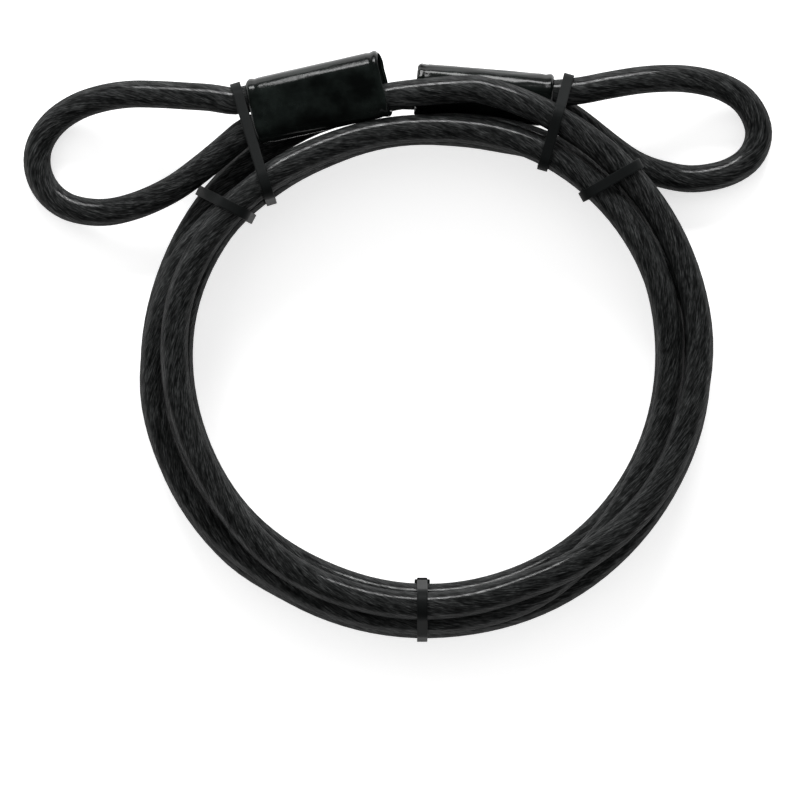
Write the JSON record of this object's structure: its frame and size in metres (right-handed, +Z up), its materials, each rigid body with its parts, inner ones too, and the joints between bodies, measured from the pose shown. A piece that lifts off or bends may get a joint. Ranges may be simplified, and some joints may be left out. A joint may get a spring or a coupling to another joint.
{
  "type": "cable lock",
  "caption": "Coiled vinyl-covered steel security cable with a loop at each end, crimped ferrules under vinyl covers, and cable ties holding the turns.",
  "frame": {"origin": "middle of the coiled cable's outline in plan, on the surface that it lies on", "axes": "+Z up from the surface, +X towards the right eye, +Y towards the side of the ferrules"},
  "size_m": [0.2736, 0.2163, 0.0437],
  "materials": {
    "cable_vinyl": "glossy near-black clear vinyl over twisted rope",
    "cover_vinyl": "glossy black shrunk vinyl",
    "rope_steel": "galvanised",
    "ferrule_aluminium": "pressed",
    "tie_nylon": "satin black nylon"
  },
  "bodies": {
    "coil": {"coil_jacket": "cable_vinyl", "coil_rope": "rope_steel", "left_neck_jackets": "cable_vinyl", "left_neck_ropes": "rope_steel", "right_neck_jackets": "cable_vinyl", "right_neck_ropes": "rope_steel", "left_ferrule": "ferrule_aluminium", "right_ferrule": "ferrule_aluminium", "left_ferrule_cover": "cover_vinyl", "right_ferrule_cover": "cover_vinyl", "left_loop_tie": "tie_nylon", "left_coil_tie": "tie_nylon", "upper_tie": "tie_nylon", "right_tie": "tie_nylon", "bottom_tie": "tie_nylon"},
    "left_eye": {"left_eye_jacket": "cable_vinyl", "left_eye_rope": "rope_steel"},
    "right_eye": {"right_eye_jacket": "cable_vinyl", "right_eye_rope": "rope_steel"}
  },
  "joints": [
    {"name": "left_eye_bend", "type": "hinge", "parent": "coil", "child": "left_eye", "pos_m": [-0.0703, 0.082, 0.0205], "axis": [-0.2201, 0.9755, 0], "range_deg": [0, 20], "stiffness_Nm_per_rad": 4, "deforming": ["left_neck_jackets", "left_neck_ropes"]},
    {"name": "right_eye_bend", "type": "hinge", "parent": "coil", "child": "right_eye", "pos_m": [0.0944, 0.0799, 0.012], "axis": [0.33, -0.944, 0], "range_deg": [0, 20], "stiffness_Nm_per_rad": 4, "deforming": ["right_neck_jackets", "right_neck_ropes"]}
  ]
}
